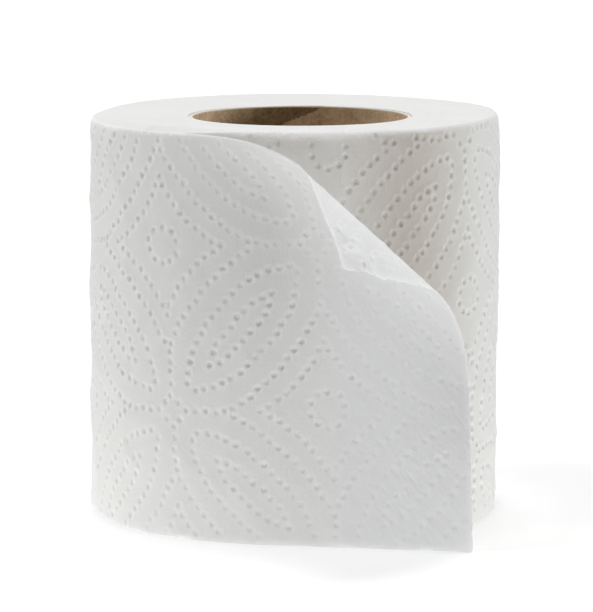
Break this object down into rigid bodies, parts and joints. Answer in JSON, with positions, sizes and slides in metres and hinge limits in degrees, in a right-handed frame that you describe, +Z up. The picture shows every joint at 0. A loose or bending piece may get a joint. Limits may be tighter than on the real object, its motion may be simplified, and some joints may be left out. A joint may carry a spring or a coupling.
{
  "type": "toilet paper roll",
  "caption": "Round roll of embossed tissue on a board core, standing on end, with its loose end lifted and the corner curled over.",
  "frame": {"origin": "on the axis of the core, in the plane of the end that the roll stands on", "axes": "+Z up along the axis of the core, -Y the side where the loose end leaves the roll, +X the way the loose end points"},
  "size_m": [0.096, 0.1302, 0.094],
  "materials": {
    "tissue": "soft matt embossed tissue",
    "board": "plain grey-brown board"
  },
  "bodies": {
    "root": {"wound_paper": "tissue", "cardboard_core": "board"}
  },
  "joints": []
}
